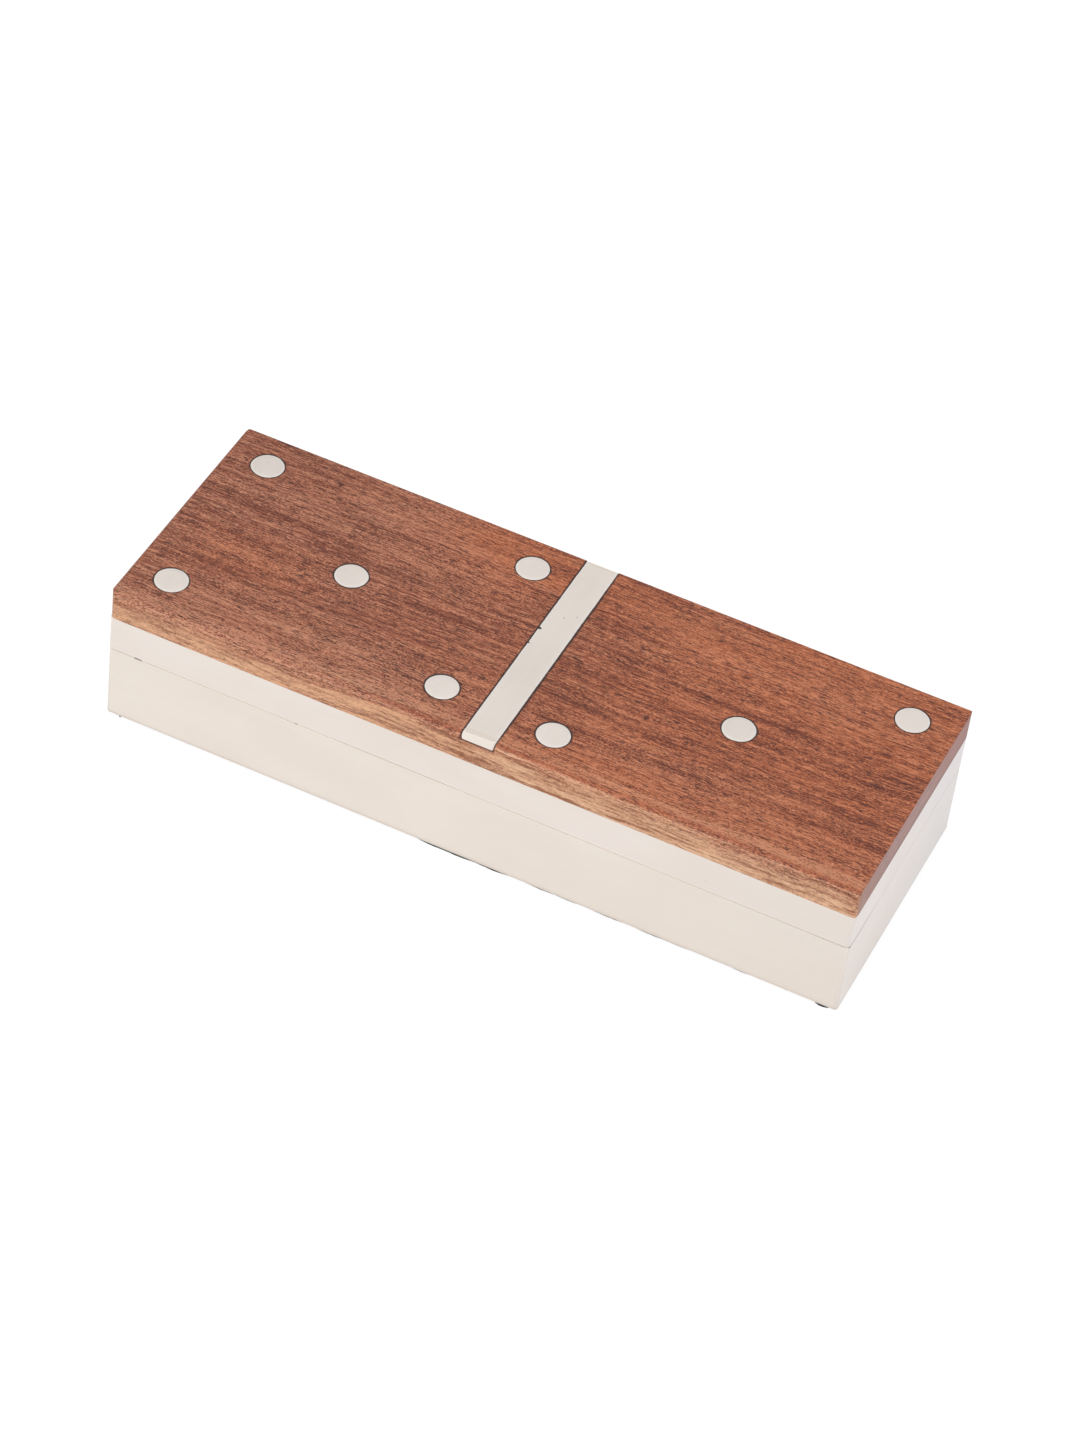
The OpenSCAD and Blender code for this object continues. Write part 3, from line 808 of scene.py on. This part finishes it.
def paler_rim(tree, colour, inside):
    """Paler near the edge. inside is how far a place lies inside the edge, in mm."""
    share = calc(tree, "MULTIPLY", rise(tree, inside, 0.7, 0.3), 0.45)
    return mix(tree, share, colour, ink(234, 230, 224))


def strip_finish():
    """Cream that is beiger near its ends, with two small stains, paler edges and a filed front."""
    finish, tree, shader = new_finish("strip_cream")
    place, x, y, z = place_in_mm(tree)
    colour = clouded_cream(tree, place, ink(228, 219, 209), ink(221, 211, 202), (0.5, 0.03, 0.5))
    for middle, half in ((-33.7, 1.0), (35.3, 0.9)):
        beige_near_end = calc(tree, "MULTIPLY", rise(tree, away(tree, y, middle), half, 0.3), 0.4)
        colour = mix(tree, beige_near_end, colour, ink(218, 202, 180))
    flat = add(tree, "CombineXYZ", {0: x, 1: y}).outputs[0]
    for spot in ((-0.4, 13.7, 0.0), (2.3, 15.6, 0.0)):
        off = add(tree, "VectorMath", {0: flat, 1: spot}, operation="DISTANCE").outputs["Value"]
        stained = calc(tree, "MULTIPLY", rise(tree, off, 0.4, 0.15), 0.5)
        colour = mix(tree, stained, colour, ink(165, 148, 134))
    inside = calc(tree, "SUBTRACT", strip_half, calc(tree, "ABSOLUTE", x))
    colour = paler_rim(tree, colour, inside)
    filed = rise(tree, z, top_z - 0.05, top_z - 0.25)
    colour = mix(tree, filed, colour, ink(222, 213, 202))
    set_colour(tree, shader, colour)
    polish_cream(tree, shader, place)
    return finish


def glue_finish():
    """Dark lumpy glue, reddened with wood dust at the front end of the strip."""
    finish, tree, shader = new_finish("dark_glue")
    place, x, y, z = place_in_mm(tree)
    lumps = cloud(tree, place, (2.0, 2.0, 2.0), detail=3, roughness=0.6)
    colour = mix(tree, rise(tree, lumps, 0.35, 0.65), ink(28, 18, 18), ink(54, 38, 34))
    colour = mix(tree, rise(tree, y, -35.3, -35.9), colour, ink(104, 52, 36))
    set_colour(tree, shader, colour)
    set_rough(tree, shader, lumps, 0.45, 0.7)
    set_relief(tree, shader, lumps, 0.4, 0.1)
    return finish


def through_rings(name, rings, finish, body, closed=False):
    """A solid through rings of as many points each. Its ends are filled, or joined where it is closed."""
    count = len(rings[0])
    points = [point for ring in rings for point in ring]
    faces = []
    for k in range(len(rings) if closed else len(rings) - 1):
        start = k * count
        following = (k + 1) % len(rings) * count
        for i in range(count):
            after = (i + 1) % count
            faces.append([start + i, start + after, following + after, following + i])
    if not closed:
        last = (len(rings) - 1) * count
        faces.append(list(range(count)))
        faces.append([last + i for i in range(count)])
    return make_piece(name, points, faces, finish, body)


def strip_height(x, y):
    """Height of the strip over the groove's floor at a place on it, all in mm."""
    skewed_slant = front_slant + front_skew * x
    front = front_land + (strip_end + y) * (strip_top - front_land) / skewed_slant
    back = strip_top - back_slant + strip_end - y
    slope = min(front, back)
    meeting = 0.05
    over = max(0, meeting - abs(strip_top - slope)) ** 2 / (4 * meeting)
    return min(strip_top, slope) - over


def strip_edge(side, y):
    """Half width of the strip on its left (-1) or right (1) side at a place along it, in mm."""
    half = strip_half - 0.05
    half += 0.06 * noise.noise(Vector((y / 5, 2.0 * side, 0)))
    half += 0.035 * noise.noise(Vector((y / 0.8, 5.0 * side, 0)))
    if side < 0:
        for middle, reach, depth in chips:
            half -= depth * max(0, 1 - ((y - middle) / reach) ** 2) ** 0.5
    corner = 0.8 if side < 0 and y < 0 else 0.25
    short = max(0, corner - (strip_end - abs(y))) / corner
    return half - 0.6 * corner * short ** 2


def wood_height(y):
    """Height of the wood's surface over the groove's floor at a place across the top, in mm."""
    ease = front_ease if y < 0 else back_ease
    past = min(max(0, abs(y) - (strip_end - ease)), ease)
    return strip_top - ease + (ease ** 2 - past ** 2) ** 0.5


def in_frame(x, y, height):
    """A point over the groove's floor, from mm to metres."""
    return (x * MM, y * MM, strip_low.z + height * MM)


def strip_stations():
    """Places along the strip for its rings, closer together by its ends and its chips."""
    hair = 0.005
    places = [-strip_end + hair]
    while places[-1] < strip_end - 0.02:
        near_end = strip_end - abs(places[-1]) < 2.2
        near_chip = any(abs(places[-1] - middle) < 1.2 * reach + 0.2 for middle, reach, depth in chips)
        pace = 0.06 if near_end or near_chip else 0.4
        places.append(min(places[-1] + pace, strip_end - hair))
    return places


def strip_ring(y):
    """The strip's section at a place along it: up its left side, over its worn top and down again."""
    left = strip_edge(-1, y)
    right = strip_edge(1, y)
    at_left = strip_height(-left, y)
    at_right = strip_height(right, y)
    rounded = 0.3 * strip_arris
    cells = 8
    ring = [in_frame(-left, y, glue_bed), in_frame(-left, y, at_left - strip_arris)]
    ring.append(in_frame(-left + rounded, y, at_left - rounded))
    for step in range(cells + 1):
        x = -left + strip_arris + (left + right - 2 * strip_arris) * step / cells
        wear = 0.008 * (1 + noise.noise(Vector((x / 2, y / 6, 0))))
        ring.append(in_frame(x, y, strip_height(x, y) - wear))
    ring.append(in_frame(right - rounded, y, at_right - rounded))
    ring += [in_frame(right, y, at_right - strip_arris), in_frame(right, y, glue_bed)]
    return ring


def strip_glue_ring(y):
    """The glue's section: a trough that lines the groove and reaches up the strip's sides."""
    left = strip_edge(-1, y)
    right = strip_edge(1, y)
    wall = strip_half + inlay_gap
    wood = wood_height(y)
    sunk = 0.03 + 0.05 * (1 + noise.noise(Vector((y / 1.5, 9.0, 0))))
    fill = min(wood, strip_height(-left, y), strip_height(right, y)) - sunk
    fill = max(fill, glue_bed + glue_overlap)
    lip = max(min(wood - 0.03, fill + 0.1), glue_bed + glue_overlap)
    shoulder = max(min(wood - top_arris, lip), glue_bed + glue_overlap / 2)
    ring = [in_frame(-wall - 0.1, y, lip), in_frame(-wall, y, shoulder), in_frame(-wall, y, 0)]
    ring += [in_frame(wall, y, 0), in_frame(wall, y, shoulder), in_frame(wall + 0.1, y, lip)]
    ring += [in_frame(right - glue_overlap, y, fill), in_frame(right - glue_overlap, y, glue_bed)]
    ring += [in_frame(-left + glue_overlap, y, glue_bed), in_frame(-left + glue_overlap, y, fill)]
    return ring


stations = strip_stations()
dark_glue = glue_finish()
strip_rings = [strip_ring(y) for y in stations]
strip = through_rings("strip_with_chips", strip_rings, strip_finish(), "lid")
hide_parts("divider_strip")
through_rings("strip_glue", [strip_glue_ring(y) for y in stations], dark_glue, "lid")


# ---- Pips ----
# Eight discs turned from cream resin, pushed into drilled pockets with dark
# glue and rubbed down level with the wood. Each is a little out of round.
around = 96
# In order of name: how light each pip is against the lightest, and how much
# wider than the narrowest, in mm
pip_shades = (0.97, 0.95, 0.985, 0.995, 1.0, 1.0, 0.985, 0.99)
pip_extra = (0.08, 0.07, 0.02, 0.0, 0.06, 0.01, 0.03, 0.1)


def pip_finish(name, centre, shade):
    """Cream, a little lighter or darker by its shade, and paler round its edge."""
    finish, tree, shader = new_finish(name)
    place, x, y, z = place_in_mm(tree)
    plain = ink(232 * shade, 223 * shade, 214 * shade)
    clouded = ink(226 * shade, 216 * shade, 207 * shade)
    colour = clouded_cream(tree, place, plain, clouded, (0.5, 0.03, 0.5))
    flat = add(tree, "CombineXYZ", {0: x, 1: y}).outputs[0]
    middle = [centre.x / MM, centre.y / MM, 0]
    reach = add(tree, "VectorMath", {0: flat, 1: middle}, operation="DISTANCE").outputs["Value"]
    colour = paler_rim(tree, colour, calc(tree, "SUBTRACT", pip_radius, reach))
    set_colour(tree, shader, colour)
    polish_cream(tree, shader, place)
    return finish


def pip_edge(turn, seed):
    """Radius of a pip at an angle, in mm: slightly flat in places, with tiny nicks."""
    arrow = Vector((math.cos(turn), math.sin(turn), 0))
    radius = pip_radius - 0.07 + pip_extra[seed]
    radius += 0.12 * noise.noise(arrow * 0.9 + Vector((0, 0, seed)))
    radius += 0.03 * noise.noise(arrow * 5 + Vector((0, 0, seed)))
    return min(radius, pip_radius + 0.06)


def pip_rings(centre, depth, seed):
    """The disc's rings from below upwards, with its lower edge bevelled and its upper one rubbed round."""
    bevel = 0.4
    # How far inside the disc's edge each ring is, and how far under the top, in mm
    levels = (
        (bevel, depth),
        (0.0, depth - bevel),
        (0.0, 0.1),
        (0.03, 0.03),
        (0.1, 0.005),
        (1.5, 0.0),
        (3.2, 0.0),
    )
    rings = []
    for inside, under in levels:
        ring = []
        for k in range(around):
            turn = 2 * math.pi * k / around
            radius = (pip_edge(turn, seed) - inside) * MM
            ring.append((centre.x + radius * math.cos(turn), centre.y + radius * math.sin(turn),
                         top_high.z - under * MM))
        rings.append(ring)
    return rings


def pip_glue_rings(centre, seed):
    """The glue from the disc's edge to the pocket's wall, as sections that go round the pip."""
    wall = pip_radius + inlay_gap
    rings = []
    for k in range(around):
        turn = 2 * math.pi * k / around
        arrow = Vector((math.cos(turn), math.sin(turn), 0))
        edge = pip_edge(turn, seed) - glue_overlap
        sunk = 0.03 + 0.05 * (1 + noise.noise(arrow * 3 + Vector((0, 0, seed))))
        section = ((edge, 1.0), (edge, sunk), (wall + 0.1, 0.03), (wall, top_arris), (wall, 1.0))
        rings.append([(centre.x + radius * MM * arrow.x, centre.y + radius * MM * arrow.y,
                       top_high.z - under * MM) for radius, under in section])
    return rings


for number, name in enumerate(pip_names):
    low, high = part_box(name)
    centre = (low + high) / 2
    depth = (high.z - low.z) / MM
    finish = pip_finish(name + "_cream", centre, pip_shades[number])
    pip = through_rings(name + "_disc", pip_rings(centre, depth, number), finish, "lid")
    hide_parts(name)
    through_rings(name + "_glue", pip_glue_rings(centre, number), dark_glue, "lid", closed=True)


# ---- Floor and light ----
# A wide white table, a large soft lamp in front, one above and one on the right,
# in a plain white room.
def lamp(name, place, aim, size, power, colour):
    """A soft rectangular lamp aimed at a point, with its size in metres and its power in watts."""
    data = bpy.data.lights.new(name, "AREA")
    data.shape = "RECTANGLE"
    data.size = size[0]
    data.size_y = size[1]
    data.energy = power
    data.color = colour
    light = bpy.data.objects.new(name, data)
    light.location = place
    light.rotation_euler = (Vector(aim) - Vector(place)).to_track_quat("-Z", "Y").to_euler()
    bpy.context.scene.collection.objects.link(light)


def looked_at(tree):
    """1 where the surface is seen by the camera, or in a gloss or through glass, and 0 for other light."""
    path = add(tree, "LightPath", {})
    seen = calc(tree, "MAXIMUM", path.outputs["Is Camera Ray"], path.outputs["Is Glossy Ray"])
    return calc(tree, "MAXIMUM", seen, path.outputs["Is Transmission Ray"])


middle = (0, 0, 0.02)
lamp("front_lamp", (-0.45, -1.25, 0.75), middle, (1.2, 1.0), 10.5, (1.0, 0.99, 0.98))
lamp("top_lamp", (-0.5, -0.1, 1.6), middle, (1.2, 1.2), 6.9, (1.0, 0.995, 0.99))
lamp("right_lamp", (1.4, -0.2, 0.7), middle, (1.0, 1.0), 9.2, (0.93, 0.91, 1.0))

world = bpy.data.worlds.new("studio")
world.use_nodes = True
world_tree = world.node_tree
background = world_tree.nodes["Background"]
background.inputs["Color"].default_value = (1, 1, 1, 1)
room_light = 0.42
strength = calc(world_tree, "MULTIPLY_ADD", looked_at(world_tree), 1 - room_light, room_light)
world_tree.links.new(strength, background.inputs["Strength"])
bpy.context.scene.world = world

table_mesh = bpy.data.meshes.new("table")
reach = 6.0
just_under = -0.02 * MM
table_corners = [(-reach, -reach), (reach, -reach), (reach, reach), (-reach, reach)]
table_mesh.from_pydata([(x, y, just_under) for x, y in table_corners], [], [(0, 1, 2, 3)])
table = bpy.data.objects.new("table", table_mesh)
bpy.context.scene.collection.objects.link(table)
white, table_tree, table_shader = new_finish("white_table")
table_shader.inputs["Roughness"].default_value = 0.9
table_shader.inputs["Specular IOR Level"].default_value = 0.0
table_seen = looked_at(table_tree)
table_pale = (0.8, 0.8, 0.8, 1)
table_under_glow = (0.17, 0.17, 0.17, 1)
paint = mix(table_tree, table_seen, table_pale, table_under_glow)
table_tree.links.new(paint, table_shader.inputs["Base Color"])
table_shader.inputs["Emission Color"].default_value = (1, 1, 1, 1)
table_glow = calc(table_tree, "MULTIPLY", table_seen, 0.9)
table_tree.links.new(table_glow, table_shader.inputs["Emission Strength"])
dress(table, white)

bpy.context.scene.view_settings.view_transform = "Standard"
